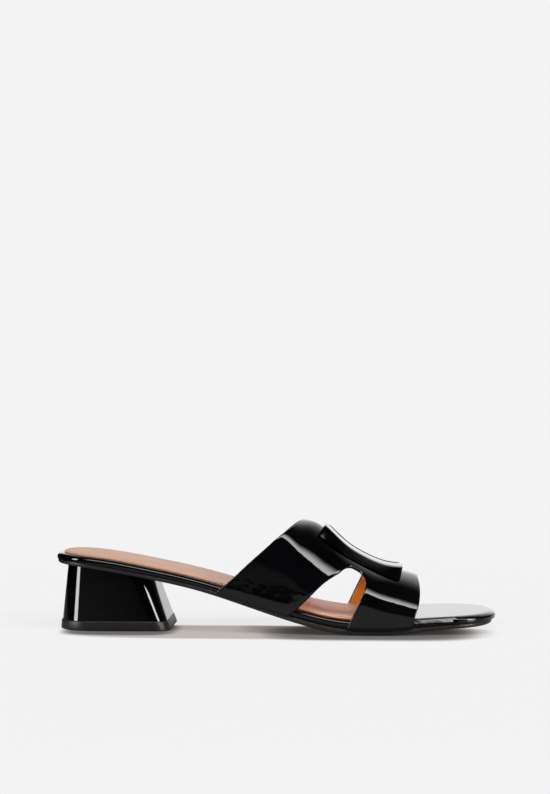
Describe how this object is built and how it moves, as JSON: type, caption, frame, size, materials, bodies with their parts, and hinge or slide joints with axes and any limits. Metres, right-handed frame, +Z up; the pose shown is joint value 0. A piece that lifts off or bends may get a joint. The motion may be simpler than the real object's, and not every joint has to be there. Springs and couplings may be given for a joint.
{
  "type": "heeled mule",
  "caption": "Slide-on mule with a black patent H-strap upper, a saddle bar on the instep, a tan sock and a low flared block heel",
  "frame": {"origin": "middle of the shoe's box on the floor it stands on", "axes": "+X toward the toe, +Y toward the inner side of the foot, +Z up"},
  "size_m": [0.2504, 0.0832, 0.0616],
  "materials": {
    "sole_rubber": "satin",
    "edge_patent": "patent gloss",
    "sock_leather": "smooth",
    "heel_patent": "gloss",
    "lift_rubber": "satin",
    "upper_patent": "patent gloss",
    "bar_patent": "patent gloss"
  },
  "bodies": {
    "root": {"outsole": "sole_rubber", "insole": "edge_patent", "sock": "sock_leather", "heel": "heel_patent", "heel_top_piece": "lift_rubber", "upper": "upper_patent", "saddle_bar": "bar_patent"}
  },
  "joints": []
}
